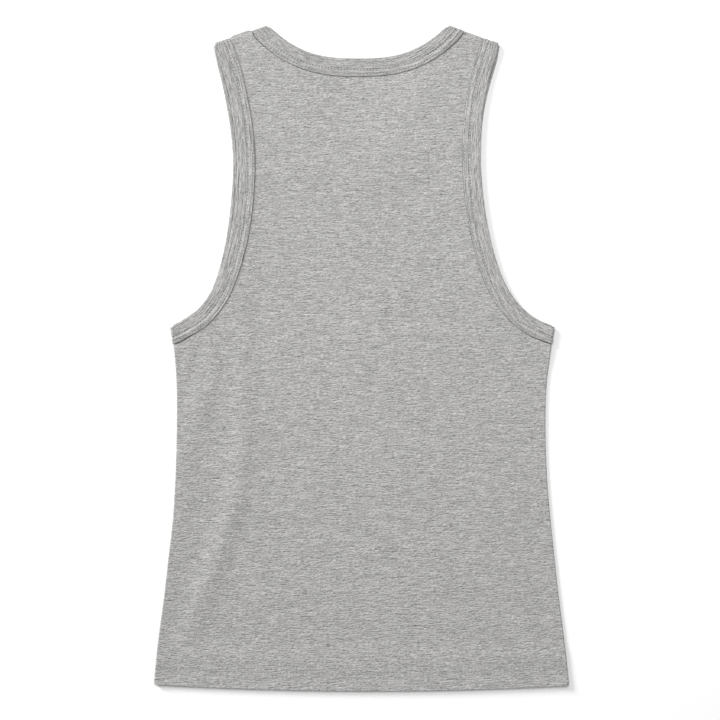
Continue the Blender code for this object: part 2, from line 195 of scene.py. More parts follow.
def spline(knots, points, values):
    """The natural cubic spline that has these points at the knots, read at the values.

    Its second derivatives come from one tridiagonal system, and are 0 at both ends.
    """
    gaps = np.diff(knots)
    slopes = np.diff(points, axis=0) / gaps[:, None]
    system = np.diag(np.concatenate([[1.0], 2.0 * (gaps[:-1] + gaps[1:]), [1.0]]))
    system += np.diag(np.append(gaps[:-1], 0.0), -1)
    system += np.diag(np.append(0.0, gaps[1:]), 1)
    bends = np.zeros(points.shape)
    bends[1:-1] = 6.0 * np.diff(slopes, axis=0)
    bends = np.linalg.solve(system, bends)
    cell = np.clip(np.searchsorted(knots, values) - 1, 0, len(gaps) - 1)
    gap = gaps[cell][:, None]
    after = (values - knots[cell])[:, None]
    before = gap - after
    straight = (points[cell] * before + points[cell + 1] * after) / gap
    bend = bends[cell] * (before**3 / gap - gap * before)
    bend += bends[cell + 1] * (after**3 / gap - gap * after)
    return straight + bend / 6.0


def smooth_line(points):
    """A spline through the points, in even small steps."""
    knots = along(points)
    lengths = np.linspace(0.0, knots[-1], round(knots[-1] / CURVE_STEP))
    return even(spline(knots, points, lengths), CURVE_STEP)


def distance(points, curve):
    """How far each point (..., 2) lies from the curve: the least over its straight stretches."""
    coarse = even(curve, FAR_STEP)
    starts, steps = coarse[:-1], np.diff(coarse, axis=0)
    offsets = points[..., None, :] - starts
    share = np.clip((offsets * steps).sum(-1) / (steps * steps).sum(-1), 0.0, 1.0)
    return np.linalg.norm(offsets - share[..., None] * steps, axis=-1).min(-1)


# %% [markdown]
# The neckline needs no table: a power curve that is flat in the middle and steepens towards the
# shoulders fits a cut neck well. The shoulder folds are straight, and both slope alike.

# %% The edges of the garment
NECK_CENTRE = -3.8
NECK_HALF_WIDTH = 93.0
NECK_HEIGHT = 349.4
NECK_DROPS = {BACK: 33.3, FRONT: 135.6}
NECK_POWERS = {BACK: 2.74, FRONT: 3.0}
NECK_SAMPLES = 800
SHOULDER_SLOPE = 0.343


def side_fold(side):
    """A side fold's line, from the hem to the underarm."""
    return smooth_line(np.array([(row.left if side == LEFT else row.right, row.height) for row in SIDES]))


def armhole_edge(side, layer):
    """One layer of an armhole's free edge, from the underarm to the shoulder."""
    edges = np.array([row.left if side == LEFT else row.right for row in ARMHOLES])
    steps = np.array([row.left_step if side == LEFT else row.right_step for row in ARMHOLES])
    if layer == BACK:
        edges = edges - side * steps
    return smooth_line(np.stack([edges, [row.height for row in ARMHOLES]], axis=-1))


def neck_height(across, layer):
    """A neckline's height: it falls from the shoulders by drop * (1 - share of half width ** power)."""
    share = np.clip(np.abs(across - NECK_CENTRE) / NECK_HALF_WIDTH, 0.0, 1.0)
    return NECK_HEIGHT - NECK_DROPS[layer] * (1.0 - share ** NECK_POWERS[layer])


def neck_edge(layer):
    """One layer of the neck's free edge, from the left shoulder to the right."""
    across = NECK_CENTRE + np.linspace(-NECK_HALF_WIDTH, NECK_HALF_WIDTH, NECK_SAMPLES)
    return even(np.stack([across, neck_height(across, layer)], axis=-1), CURVE_STEP)


SIDE_FOLDS = {side: side_fold(side) for side in (LEFT, RIGHT)}
ARMHOLE_LAYERS = [(side, layer) for side in (LEFT, RIGHT) for layer in (FRONT, BACK)]
ARMHOLE_EDGES = {key: armhole_edge(*key) for key in ARMHOLE_LAYERS}
NECK_EDGES = {layer: neck_edge(layer) for layer in (FRONT, BACK)}
SHOULDER_LINES = {side: unit(np.array([-side, SHOULDER_SLOPE])) for side in (LEFT, RIGHT)}
SHOULDER_OUTS = {side: unit(np.array([side * SHOULDER_SLOPE, 1.0])) for side in (LEFT, RIGHT)}


def free_edges(layer):
    """A layer's three free edges: left armhole, right armhole and neck."""
    return ARMHOLE_EDGES[LEFT, layer], ARMHOLE_EDGES[RIGHT, layer], NECK_EDGES[layer]


for layer, name in ((BACK, "back"), (FRONT, "front")):
    print(f"{name} neckline {along(NECK_EDGES[layer])[-1]:.0f} mm")

# %% [markdown]
# ## How the layers lie on each other
#
# Everything is placed by a mid surface that runs between the back and the front. In the field it lies
# one wall above the table. A binding is one more layer of cloth, so where the front's bindings lie
# underneath, the back rides up over them and comes down again over a few centimetres. Along the side
# folds the cloth springs up a little from the table, because jersey doesn't fold quite flat. The
# creases are soft ridges of the back, each a raised cosine across a crest line, as high as its table
# says.

# %% The creases of the back
class Crease(NamedTuple):
    """A soft crease at one height: where its crest lies, how high it stands, and its half width."""

    height: float
    crest: float
    rise: float
    width: float


BACK_CREASES = (
    (
        Crease(-322.0, -192.0, 0.0, 21.0),
        Crease(-285.0, -179.0, 1.2, 21.0),
        Crease(-243.0, -163.0, 1.9, 21.0),
        Crease(-190.0, -146.0, 2.3, 21.0),
        Crease(-140.0, -131.0, 2.2, 21.0),
        Crease(-90.0, -125.5, 1.6, 21.0),
        Crease(-43.0, -124.0, 1.0, 21.0),
        Crease(40.0, -126.5, 0.7, 21.0),
        Crease(84.0, -127.0, 0.0, 21.0),
    ),
    (
        Crease(-215.0, -200.0, 0.0, 21.0),
        Crease(-160.0, -191.0, 0.7, 21.0),
        Crease(-115.0, -184.0, 1.1, 21.0),
        Crease(-74.0, -176.0, 1.4, 21.0),
        Crease(-35.0, -166.0, 1.4, 21.0),
        Crease(4.0, -156.0, 1.0, 21.0),
        Crease(36.0, -148.0, 0.0, 21.0),
    ),
    (
        Crease(-40.0, -190.0, 0.0, 9.0),
        Crease(-20.0, -187.0, 0.5, 9.0),
        Crease(2.0, -181.0, 0.6, 9.0),
        Crease(28.0, -173.0, 0.0, 9.0),
    ),
)


# %% Heights
BAND_MARGIN = 3.0
BAND_EASE = 32.0
NECK_FALL = 62.0
SIDE_CURLS, CURL_WIDTH = {LEFT: 0.8, RIGHT: 0.5}, 22.0
HEM_HEIGHT = -341.8
HEM_HALF_WIDTH = 217.6
HEM_BOW = 6.1
HEM_TILT = 0.6


def mid_height(points, layer):
    """The height of the mid surface, as the front or the back meets it.

    One wall and half a gap, and one more layer over and near a binding of the front. Inside the front
    neckline there is no front, so there the back sinks to the table. Each side fold lifts it by
    curl * (1 - share of the curl's width) ** 2.
    """
    flat = np.ones(points.shape[:-1])
    for edge in free_edges(FRONT):
        flat *= ease((distance(points, edge) - BAND_WIDTH - BAND_MARGIN) / BAND_EASE)
    lift = 1.0 - flat
    if layer == BACK:
        in_neck = np.abs(points[..., 0] - NECK_CENTRE) < NECK_HALF_WIDTH
        in_neck &= points[..., 1] > neck_height(points[..., 0], FRONT)
        fall = 1.0 - 2.0 * ease(distance(points, NECK_EDGES[FRONT]) / NECK_FALL)
        lift = np.where(in_neck, fall, lift)
    height = WALL + HALF_GAP + RISE * lift
    for side, curl in SIDE_CURLS.items():
        gone = np.clip(distance(points, SIDE_FOLDS[side]) / CURL_WIDTH, 0.0, 1.0)
        height += curl * (1.0 - gone) ** 2
    return height


def crease_height(points, creases):
    """The sum of the ridges: rise * (1 + cos(pi * share of half width)) / 2 across each crest."""
    total = np.zeros(points.shape[:-1])
    for table in creases:
        rows = np.array(table)
        heights = np.clip(points[..., 1], rows[0, 0], rows[-1, 0])
        values = spline(rows[:, 0], rows[:, 1:], heights.ravel()).T
        crest, rise, width = values.reshape((3,) + heights.shape)
        share = np.clip(np.abs(points[..., 0] - crest) / width, 0.0, 1.0)
        total += np.maximum(rise, 0.0) * (1.0 + np.cos(math.pi * share)) / 2.0
    return total


def hem_bow(across):
    """How far the hem's fold dips there: a parabola that is 0 at the sides, and a tilt."""
    share = np.clip(across / HEM_HALF_WIDTH, -1.0, 1.0)
    return HEM_BOW * (1.0 - share**2) + HEM_TILT * share


def above_hem(points):
    """How far each point lies above the hem's fold."""
    return np.maximum(points[..., 1] + hem_bow(points[..., 0]) - HEM_HEIGHT, 0.0)


# %% [markdown]
# ## Bindings as edges with a width
#
# Each binding follows a free edge. Its width points square to that edge into the cloth, and near the
# shoulder and the underarm it swings round to the line of the fold, so that the back and the front
# halves of the ring meet there. The corners are a little round, more so at the shoulders.

# %% Edges of the bindings
FOLD_BLEND = 26.0
STRAIGHT_LENGTH = 18.0
UNDERARM_ROUND, SHOULDER_ROUND = 1.1, 2.1


class Edge(NamedTuple):
    """One layer of a binding's free edge, with its width's direction at each point.

    For its start and its end it also has the way out past the fold, and the corner's radius.
    """

    points: np.ndarray
    widths: np.ndarray
    outs: tuple
    rounds: tuple

    def inside(self, reach):
        """The line that runs this far inside the free edge."""
        return self.points + self.widths * reach


def width_directions(edge, material, start_fold, end_fold):
    """The direction of a binding's width: square to the edge, easing into the fold's line at each end."""
    tangents = unit(np.gradient(edge, axis=0))
    widths = material * np.stack([tangents[:, 1], -tangents[:, 0]], axis=-1)
    reach = along(edge)
    for fold, gone in ((start_fold, reach), (end_fold, reach[-1] - reach)):
        share = ease(gone / FOLD_BLEND)[:, None]
        widths = widths * share + fold * (1.0 - share)
    return unit(widths)


def armhole_band(side, layer):
    """One layer of an armhole binding's edge, from the underarm to the shoulder."""
    fold = SIDE_FOLDS[side]
    down = unit(fold[-1 - round(STRAIGHT_LENGTH / CURVE_STEP)] - fold[-1])
    out = side * np.array([-down[1], down[0]])
    edge = ARMHOLE_EDGES[side, layer]
    widths = width_directions(edge, -side, down, SHOULDER_LINES[side])
    return Edge(edge, widths, (out, SHOULDER_OUTS[side]), (UNDERARM_ROUND, SHOULDER_ROUND))


def neck_band(layer):
    """One layer of the neck binding's edge, from the left shoulder to the right."""
    edge = NECK_EDGES[layer]
    widths = width_directions(edge, 1, -SHOULDER_LINES[LEFT], -SHOULDER_LINES[RIGHT])
    outs = (SHOULDER_OUTS[LEFT], SHOULDER_OUTS[RIGHT])
    return Edge(edge, widths, outs, (SHOULDER_ROUND, SHOULDER_ROUND))


ARMHOLE_BANDS = {key: armhole_band(*key) for key in ARMHOLE_EDGES}
NECK_BANDS = {layer: neck_band(layer) for layer in NECK_EDGES}

# %% [markdown]
# ## From a grid to a mesh
#
# Every piece of cloth below is a grid of points, computed as one array. This helper turns grids into
# a mesh and gives it two UV maps. The map called cloth measures the cloth itself in metres, so the
# marl keeps its size and runs the way the cloth was knitted. The map called sewing counts stitches
# along a seam and millimetres across it, so needle holes land where the thread goes in.

# %% Mesh helpers
def lifted(plan, height):
    """The points of a plan (..., 2) at these heights."""
    return np.concatenate([plan, height[..., None]], axis=-1)


def grid_faces(rows, columns, round_rows=False, round_columns=False):
    """The four-sided faces of a grid of points, whose last row or column may be joined to its first."""
    row, column = np.indices((rows - (not round_rows), columns - (not round_columns)))
    next_row, next_column = (row + 1) % rows, (column + 1) % columns
    corners = [row * columns + column, row * columns + next_column]
    corners += [next_row * columns + next_column, next_row * columns + column]
    return np.stack(corners, axis=-1).reshape(-1, 4)


def add(name, data):
    """An object that holds this mesh, light or camera."""
    made = bpy.data.objects.new(name, data)
    bpy.context.scene.collection.objects.link(made)
    return made


def cloth_object(name, points, faces, maps, attributes=()):
    """An object of these points (in mm) and faces, with UV maps given for each face's corners."""
    mesh = bpy.data.meshes.new(name)
    mesh.vertices.add(len(points))
    mesh.vertices.foreach_set("co", (points * MM).astype(np.float32).ravel())
    mesh.loops.add(faces.size)
    mesh.loops.foreach_set("vertex_index", faces.astype(np.int32).ravel())
    mesh.polygons.add(len(faces))
    starts = np.arange(0, faces.size, faces.shape[1], dtype=np.int32)
    mesh.polygons.foreach_set("loop_start", starts)
    mesh.update(calc_edges=True)
    for map_name, corners in maps.items():
        layer = mesh.uv_layers.new(name=map_name)
        layer.uv.foreach_set("vector", corners.astype(np.float32).ravel())
    for attribute, values in dict(attributes).items():
        layer = mesh.attributes.new(attribute, "FLOAT", "POINT")
        layer.data.foreach_set("value", values.astype(np.float32).ravel())
    mesh.validate()
    mesh.shade_smooth()
    return add(name, mesh)


def report(piece, node):
    """Prints how many faces a piece has, and how far its box differs from its solid's."""
    low, high = (np.array(corner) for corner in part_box(node))
    mesh = piece.data
    points = np.zeros(len(mesh.vertices) * 3, np.float32)
    mesh.vertices.foreach_get("co", points)
    points = points.reshape(-1, 3)
    off = np.abs(np.concatenate([points.min(0) - low, points.max(0) - high])).max() / MM
    print(f"{piece.name}: {len(mesh.polygons)} faces, its box is within {off:.2f} mm of {node}'s")


# %% [markdown]
# ## The panels
#
# A panel could be a plane with a Solidify modifier, but its edges would then be square, and cloth at a
# fold is round. So each panel is two grids over one plan, its outer and its inner face, and at the
# sides and the top the plan is continued by rows and columns that turn the outer face in to the inner
# one: round a quarter circle at a fold, and straight down at a raw edge, which a binding hides.
# The plan itself has level rows from the hem to the chest, and above them a Coons patch, which blends
# its four edges: the last level row, the two armholes, and the line of shoulders and neck.

# %% The plan of a panel
ROW_STEP = 2.8
HEM_ROUND = 0.3
HEM_CORNER = 3.0
HEM_TURNS = np.radians(np.arange(0.0, 91.0, 15.0))
HEM_STEPS = np.array([0.65, 1.6, 4.0, 6.6, 9.4, 12.2, 15.0, 22.3, 28.0])
CHEST_MARGIN = 16.0
HEM_LEVEL = 120.0
COLUMNS = {BACK: 166, FRONT: 130}
FOLD_SHARE = 0.0012
SHOULDER_SHARES = np.linspace(0.0, 0.94, 16)
SHOULDER_CROWN = {LEFT: 2.5, RIGHT: 0.8}
CROWN_START, CROWN_FULL = 0.2, 0.12


def place_at(curve, heights):
    """How far across a curve that only climbs lies at these heights."""
    return np.interp(heights, curve[:, 1], curve[:, 0])


def panel_side(side, layer):
    """A panel's side from hem to shoulder, side fold and then raw armhole edge, and where that starts."""
    raw = ARMHOLE_BANDS[side, layer].inside(RAW_EDGE)
    fold = SIDE_FOLDS[side]
    return np.concatenate([fold[fold[:, 1] < raw[0, 1]], raw]), raw[0, 1]


def row_heights(layer, underarm):
    """The heights of a panel's level rows: round the hem's fold, then even up to the underarm and chest."""
    fold = HEM_ROUND * (1.0 - np.cos(HEM_TURNS))
    rows = np.add.outer(HEM_ROWS, GROOVE_STEPS).ravel()
    hem = HEM_HEIGHT + np.unique(np.concatenate([fold, HEM_STEPS, rows]))
    top = NECK_HEIGHT - NECK_DROPS[layer] - BAND_WIDTH - CHEST_MARGIN
    body = np.linspace(hem[-1], underarm, round((underarm - hem[-1]) / ROW_STEP) + 1)
    chest = np.linspace(underarm, top, round((top - underarm) / ROW_STEP) + 1)
    return np.concatenate([hem, body[1:], chest[1:]])


def level_rows(layer, sides, underarm):
    """The rows from the hem to the chest: each runs level from side to side, and bows at the hem.

    The columns are even, but for one more close to each side, which keeps the fold's edge crisp.
    """
    heights = row_heights(layer, underarm)
    from_hem = heights - HEM_HEIGHT
    left, right = (place_at(side, heights)[:, None] for side in sides)
    cut = np.clip(1.0 - from_hem / HEM_CORNER, 0.0, 1.0)
    corner = (HEM_CORNER * (1.0 - np.sqrt(1.0 - cut * cut)))[:, None]
    shares = np.linspace(0.0, 1.0, COLUMNS[layer])
    shares[[1, -2]] = FOLD_SHARE, 1.0 - FOLD_SHARE
    across = left + corner + (right - left - 2.0 * corner) * shares
    level = ease((from_hem - HEM_DEPTH) / HEM_LEVEL)[:, None]
    return np.stack([across, heights[:, None] - hem_bow(across) * (1.0 - level)], axis=-1)


def panel_top(layer):
    """A panel's top edge, left to right: shoulder fold, raw neck edge, shoulder fold.

    Between its two bindings, a shoulder fold stands out by its crown, which eases in and out.
    """
    neck = NECK_BANDS[layer].inside(RAW_EDGE)
    shares = SHOULDER_SHARES[:, None]
    rise = ease((shares - CROWN_START) / CROWN_FULL) * ease((1.0 - CROWN_START - shares) / CROWN_FULL)
    shoulders = {}
    for side, end in ((LEFT, neck[0]), (RIGHT, neck[-1])):
        start = ARMHOLE_BANDS[side, layer].inside(RAW_EDGE)[-1]
        shoulders[side] = start + (end - start) * shares + SHOULDER_CROWN[side] * rise * SHOULDER_OUTS[side]
    lengths = np.linspace(0.0, along(neck)[-1], COLUMNS[layer] - 2 * len(shares))
    return np.concatenate([shoulders[LEFT], at_lengths(neck, lengths), shoulders[RIGHT][::-1]])


def top_rows(layer, sides, bottom):
    """The rows from the chest to the top, as a Coons patch.

    Straight lines join the bottom row to the top edge, and each is moved by its share of how far the
    two armholes bow away from the straight lines at its two ends.
    """
    top = panel_top(layer)
    climb = (top[:, 1] - bottom[:, 1]).mean()
    steps = np.linspace(0.0, 1.0, round(climb / ROW_STEP) + 1)[1:, None, None]
    rows = bottom * (1.0 - steps) + top * steps
    share = ((bottom[:, 0] - bottom[0, 0]) / (bottom[-1, 0] - bottom[0, 0]))[:, None]
    for side, end, weight in ((sides[0], 0, 1.0 - share), (sides[1], -1, share)):
        heights = rows[:, end, 1]
        edge = np.stack([place_at(side, heights), heights], axis=-1)
        rows = rows + (edge - rows[:, end])[:, None] * weight
    return rows


def panel_plan(layer):
    """A panel's points from above (row, column, 2), and how many of its rows end at the side folds."""
    sides, corners = zip(*(panel_side(side, layer) for side in (LEFT, RIGHT)))
    level = level_rows(layer, sides, min(corners))
    rows = np.concatenate([level, top_rows(layer, sides, level[-1])])
    return rows, int((level[:, 0, 1] <= min(corners)).sum())


# %% [markdown]
# The panel's height is the mid surface, half a gap and one wall. Below the top row of hem stitches the
# cloth is double, and the back, which lies on the front's hem as well, is lifted twice. The hem's fold
# springs up a little, as the side folds do. The front has a few low creases on the side that lies on
# the table, where the cloth has not been smoothed by hand.

# %% The creases of the front
FRONT_CREASES = (
    (
        Crease(-300.0, 120.0, 0.0, 24.0),
        Crease(-230.0, 128.0, 0.45, 24.0),
        Crease(-120.0, 140.0, 0.6, 22.0),
        Crease(-30.0, 146.0, 0.35, 20.0),
        Crease(20.0, 149.0, 0.0, 20.0),
    ),
    (
        Crease(-210.0, -60.0, 0.0, 30.0),
        Crease(-120.0, -74.0, 0.4, 30.0),
        Crease(-20.0, -84.0, 0.55, 26.0),
        Crease(70.0, -90.0, 0.0, 26.0),
    ),
    (
        Crease(-330.0, -150.0, 0.0, 18.0),
        Crease(-270.0, -158.0, 0.5, 18.0),
        Crease(-190.0, -163.0, 0.3, 18.0),
        Crease(-130.0, -165.0, 0.0, 18.0),
    ),
)


# %% The heights of a panel's two faces
HEM_WALL = 1.6
HEM_EASE = 26.0
HEM_CURL, CURL_DEPTH = 0.7, 12.2
HEM_GROOVE = 0.2
FRONT_CREASE_CAP = 0.6


def outer_height(plan, layer):
    """The height of a panel's outer face: mid surface, half a gap, one wall, hem and creases.

    The hem's curl falls evenly from its fold to nothing at the curl's depth.
    """
    height = mid_height(plan, layer) + layer * (HALF_GAP + WALL)
    if layer == BACK:
        hem_lift = 1.0 - ease((above_hem(plan) - HEM_DEPTH) / HEM_EASE)
        height += 2.0 * (HEM_WALL - WALL) * hem_lift + crease_height(plan, BACK_CREASES)
        height += HEM_CURL * np.maximum(1.0 - above_hem(plan) / CURL_DEPTH, 0.0)
    return height


def grooves(places, rows, shares=(1.0, 1.0)):
    """How far places sink where they are sewn: a bell curve about each row, times the row's share."""
    return sum(share * np.exp(-(((places - row) / GROOVE_WIDTH) ** 2)) for row, share in zip(rows, shares))


def face_heights(plan, layer, wall_left):
    """The heights of a panel's outer and inner face.

    The cloth's middle lies half its thickness under the outer height. Round the hem's fold the cloth
    thins as a half circle does, and at the other edges to the share of the wall that is left there.
    """
    from_hem = above_hem(plan)
    cloth = np.where(from_hem < HEM_DEPTH, HEM_WALL, WALL)
    middle = outer_height(plan, layer) - layer * cloth / 2
    cloth = cloth * np.sqrt(1.0 - np.clip(1.0 - from_hem / HEM_ROUND, 0.0, 1.0) ** 2)
    inner = middle - layer * cloth / 2
    outer = inner + layer * (cloth - HEM_GROOVE * grooves(from_hem, HEM_ROWS)) * wall_left
    if layer == FRONT:
        creases = np.minimum(crease_height(plan, FRONT_CREASES), FRONT_CREASE_CAP)
        outer = outer + creases * np.minimum(wall_left, 1.0)
    return outer, inner


# %% [markdown]
# The foot of a binding shows as a dark line: painted shade in the crack under its lip, added to the
# lip's own shadow. A panel's points know how far they lie from it, so that its finish can paint the
# line. Towards the left shoulder the armhole's seam is pressed flatter, so the painted shade fades
# there.

# %% Make the two panels
FOLD_RADIUS = HALF_GAP + WALL
FOLD_TURNS = np.append(np.radians([20.0, 40.0, 60.0]), math.acos(HALF_GAP / FOLD_RADIUS))
MAP_SHIFTS = {BACK: np.zeros(2), FRONT: np.array([1000.0, 0.0])}
# How much the painted shade at a binding's foot fades towards the left shoulder, from which height and over
# how far.
LEFT_PRESS = 0.9
PRESS_START, PRESS_LENGTH = 235.0, 60.0


def edge_turns(plan, side_rows):
    """Where a panel's added rows and columns go: their way out, the wall left, and the cloth's length.

    At a turn the cloth stands out by radius * sin(turn), and the outer face comes in to the inner one
    as radius * cos(turn) falls to half a gap.
    """
    extra = len(FOLD_TURNS)
    rows, columns = plan.shape[:2]
    up = np.concatenate([np.zeros(rows - extra), FOLD_TURNS])[:, None]
    sideways = np.concatenate([FOLD_TURNS[::-1], np.zeros(columns - 2 * extra), FOLD_TURNS])
    outward = np.sign(np.arange(columns) - columns / 2)
    reach = np.zeros_like(plan)
    reach[:side_rows, :, 0] = FOLD_RADIUS * np.sin(sideways) * outward
    shoulder = len(SHOULDER_SHARES) + extra
    reach[:, :shoulder] += FOLD_RADIUS * np.sin(up)[..., None] * SHOULDER_OUTS[LEFT]
    reach[:, -shoulder:] += FOLD_RADIUS * np.sin(up)[..., None] * SHOULDER_OUTS[RIGHT]
    upward, across = (FOLD_RADIUS * np.cos(turn) - HALF_GAP for turn in (up, sideways))
    turned = FOLD_RADIUS * np.stack(np.broadcast_arrays(sideways * outward, up), axis=-1)
    return reach, upward * across / WALL**2, turned


def seam_marks(plan, layer):
    """How far each point lies from the nearest binding's lip, and how strong the painted shade at its foot is
    there.
    """
    far = np.stack([distance(plan, edge) for edge in free_edges(layer)])
    press = np.array([LEFT_PRESS, 0.0, 0.0])[far.argmin(axis=0)]
    shade = 1.0 - press * ease((plan[..., 1] - PRESS_START) / PRESS_LENGTH)
    return {"lip": far.min(axis=0) - BAND_WIDTH, "painted_seam_shade": shade}


def panel(name, layer):
    """A panel: its outer and inner faces, over one grid, meet all round its edge."""
    plan, side_rows = panel_plan(layer)
    extra = len(FOLD_TURNS)
    plan = np.pad(plan, ((0, extra), (extra, extra), (0, 0)), mode="edge")
    rows, columns = plan.shape[:2]
    count = rows * columns
    reach, wall_left, turned = edge_turns(plan, side_rows)
    heights = face_heights(plan, layer, wall_left)
    points = np.stack([lifted(plan + reach, height) for height in heights])

    quads = grid_faces(rows, columns)
    faces = np.concatenate([quads[:, ::-layer], quads[:, ::layer] + count])
    grid = np.arange(count).reshape(rows, columns)
    rims = np.concatenate([grid[0], grid[-1], grid[:, 0], grid[:, -1]])
    weld = np.arange(2 * count)
    weld[rims + count] = rims

    cloth_map = (plan + turned + MAP_SHIFTS[layer]) * MM
    sewing_map = np.stack([plan[..., 0] / STITCH, above_hem(plan)], axis=-1)
    maps = {"cloth": cloth_map, "sewing": sewing_map}
    maps = {key: np.tile(values.reshape(-1, 2), (2, 1))[faces.ravel()] for key, values in maps.items()}
    marks = {key: np.tile(values.ravel(), 2) for key, values in seam_marks(plan, layer).items()}
    return cloth_object(name, points.reshape(-1, 3), weld[faces], maps, marks)


back_cloth = panel("back_cloth", BACK)
front_cloth = panel("front_cloth", FRONT)
report(back_cloth, "back_panel")
report(front_cloth, "front_panel")

# %% [markdown]
# ## The bindings
#
# A binding's section shows how it is made: a strip folded over the raw edge, so that the free edge is
# a soft round nose that stands out a little, and an outer leg that runs on over the panel and falls
# gently to a narrow lip. The twin needle pulls two grooves into that leg, the outer one deeper, and
# leaves it slightly puffed between them. Sweeping one section along the edge gives the ring. A Curve
# object with a bevel profile would sweep it too, but the width has to swing round at the folds, and
# the grooves have to dip at every stitch, so the sweep is done in numpy.

# %% The section of a binding
NOSE_RADIUS = STACK / 2
NOSE_TURNS = np.radians(np.arange(-90.0, 91.0, 22.5))
NOSE_REACH, NOSE_EASE = 0.3, 4.0
LEG_PLACES = (2.4, 4.2, 6.2, 8.2, sum(BAND_ROWS) / 2)
LEG_START, LEG_FALL = 3.0, 0.5
PUFFS, PUFF_SKEW = np.array([0.08, 0.4, 0.26]), 1.4
GROOVE_DEPTH = 0.46
ROW_SHARES = (1.0, 0.25)
LIP_RADIUS = 0.45
LIP_TURNS = np.radians(np.array([90.0, 60.0, 30.0, 0.0]))
LIP_MARGIN = 0.2
LIP_FOOT = WALL + 0.05


def outer_leg():
    """The outer leg's points, closer together at the two stitch rows.

    Between the nose, the rows and the lip it puffs up by puff * sin(pi * share ** skew), and from its
    start it falls evenly to the lip.
    """
    places = [*LEG_PLACES, BAND_WIDTH - LIP_RADIUS - LIP_MARGIN]
    places = np.unique(np.concatenate([places, np.add.outer(BAND_ROWS, GROOVE_STEPS).ravel()]))
    lands = np.interp(places, [NOSE_RADIUS, *BAND_ROWS, BAND_WIDTH], [0.0, 1.0, 2.0, 3.0])
    puff = PUFFS[lands.astype(int)] * np.sin(math.pi * (lands % 1.0) ** PUFF_SKEW)
    puff -= LEG_FALL * np.clip((places - LEG_START) / (BAND_WIDTH - LEG_START), 0.0, 1.0)
    return np.stack([places, STACK + puff], axis=-1)


def band_section():
    """A binding's section (point, 3): distance in from the free edge, height, and share of the grooves.

    From the nose's inner face round a half circle, along the leg, round the lip, and back beneath.
    """
    nose = NOSE_RADIUS * np.stack([1.0 - np.cos(NOSE_TURNS), 1.0 + np.sin(NOSE_TURNS)], axis=-1)
    turn = np.stack([np.cos(LIP_TURNS), np.sin(LIP_TURNS)], axis=-1)
    lip = [BAND_WIDTH - LIP_RADIUS, STACK - LEG_FALL - LIP_RADIUS] + LIP_RADIUS * turn
    under = np.array([(BAND_WIDTH, LIP_FOOT), (NOSE_WIDTH, LIP_FOOT)])
    section = np.concatenate([[(NOSE_WIDTH, 0.0)], nose, outer_leg(), lip, under])
    section[:, 0] -= NOSE_REACH * (1.0 - ease(section[:, 0] / NOSE_EASE))
    return np.column_stack([section, grooves(section[:, 0], BAND_ROWS, ROW_SHARES)])


SECTION = band_section()
ROW_POINTS = [int(np.argmin(np.abs(SECTION[:-2, 0] - row))) for row in BAND_ROWS]
print(len(SECTION), "points round a binding's section; its rows are points", ROW_POINTS)

# %% [markdown]
# The ring runs along the back's edge, round the fold at its end, along the front's edge and round the
# other fold. At each fold the corner of the cloth is a little round, so the sections near it have
# their nose moved in.

# %% The sections round a ring
STATION_STEP = STITCH / 4
CORNER_TURNS = np.radians([0.0, 30.0, 60.0, 90.0])
TURN_STEPS = 7


def corner_inset(gone, radius):
    """How far a round corner lies inside a sharp one: radius - sqrt(radius^2 - (radius - gone)^2)."""
    cut = np.clip(1.0 - gone / radius, 0.0, 1.0)
    return radius * (1.0 - np.sqrt(1.0 - cut * cut))


def rounded(inset):
    """A section's distances in from the free edge, its nose moved in, which fades out under the leg."""
    return SECTION[:, 0] + inset[:, None] * (1.0 - ease(SECTION[:, 0] / BAND_ROWS[0]))


def band_stations(band, layer):
    """The bases of the sections along one layer of a binding, and their ways out, up or down."""
    reach = along(band.points)
    start, end = band.rounds
    corner = 1.0 - np.cos(CORNER_TURNS)
    lengths = np.linspace(0.0, reach[-1], round(reach[-1] / STATION_STEP) + 1)
    lengths = np.unique(np.concatenate([lengths, start * corner, reach[-1] - end * corner]))
    inset = corner_inset(lengths, start) + corner_inset(reach[-1] - lengths, end)
    widths = unit(read(reach, band.widths, lengths))
    plan = read(reach, band.points, lengths)[:, None] + widths[:, None] * rounded(inset)[..., None]
    base = mid_height(plan, layer) + layer * HALF_GAP
    outs = np.tile([0.0, 0.0, float(layer)], (len(lengths), 1))
    return lifted(plan, base), outs


def band_turn(band, end):
    """The bases of the sections round a fold, from the back to the front, and their ways out.

    They turn about the fold's line by half a circle, without the two sections at its ends.
    """
    angles = np.linspace(0.0, math.pi, TURN_STEPS + 1)[1:-1, None]
    fold = band.points[end] + band.widths[end] * rounded(np.array([band.rounds[end]]))[0][:, None]
    plan = fold + (HALF_GAP * np.sin(angles))[..., None] * band.outs[end]
    base = mid_height(fold, BACK) + HALF_GAP * np.cos(angles)
    outs = np.concatenate([np.sin(angles) * band.outs[end], np.cos(angles)], axis=-1)
    return lifted(plan, base), outs


def ring_sections(bands):
    """A whole ring's bases (station, point, 3) and ways out: back, fold, front and other fold."""
    parts = [band_stations(bands[BACK], BACK), band_turn(bands[BACK], -1)]
    for part in (band_stations(bands[FRONT], FRONT), band_turn(bands[BACK], 0)):
        parts.append([values[::-1] for values in part])
    return [np.concatenate(values) for values in zip(*parts)]


# %% [markdown]
# A whole number of stitches is spread over the ring, so the last one meets the first. Each needle hole
# pulls the grooves a little deeper than the thread between two holes does.

# %% Make the three bindings
HOLE_PULL = 0.35


